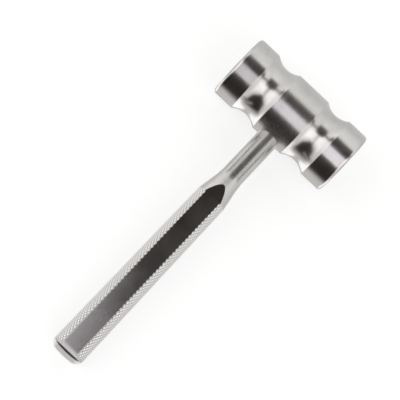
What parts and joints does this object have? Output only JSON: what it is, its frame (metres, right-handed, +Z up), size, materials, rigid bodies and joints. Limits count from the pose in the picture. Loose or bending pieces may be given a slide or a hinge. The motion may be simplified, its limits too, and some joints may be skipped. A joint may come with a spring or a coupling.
{
  "type": "surgical mallet",
  "caption": "All-steel surgical mallet: a turned head with a groove either side of its middle band, on a flared handle with a knurled grip and ground flats.",
  "frame": {"origin": "middle of the resting mallet's bounding box, on the surface that it lies on", "axes": "+X along the head towards one striking face, -Y from the head towards the butt, +Z up"},
  "size_m": [0.082, 0.207, 0.04],
  "materials": {
    "head_steel": "turned and polished stainless steel, satin sheen",
    "handle_steel": "polished neck and flats, diamond-knurled grip, satin butt"
  },
  "bodies": {
    "root": {"head": "head_steel", "handle": "handle_steel"}
  },
  "joints": []
}
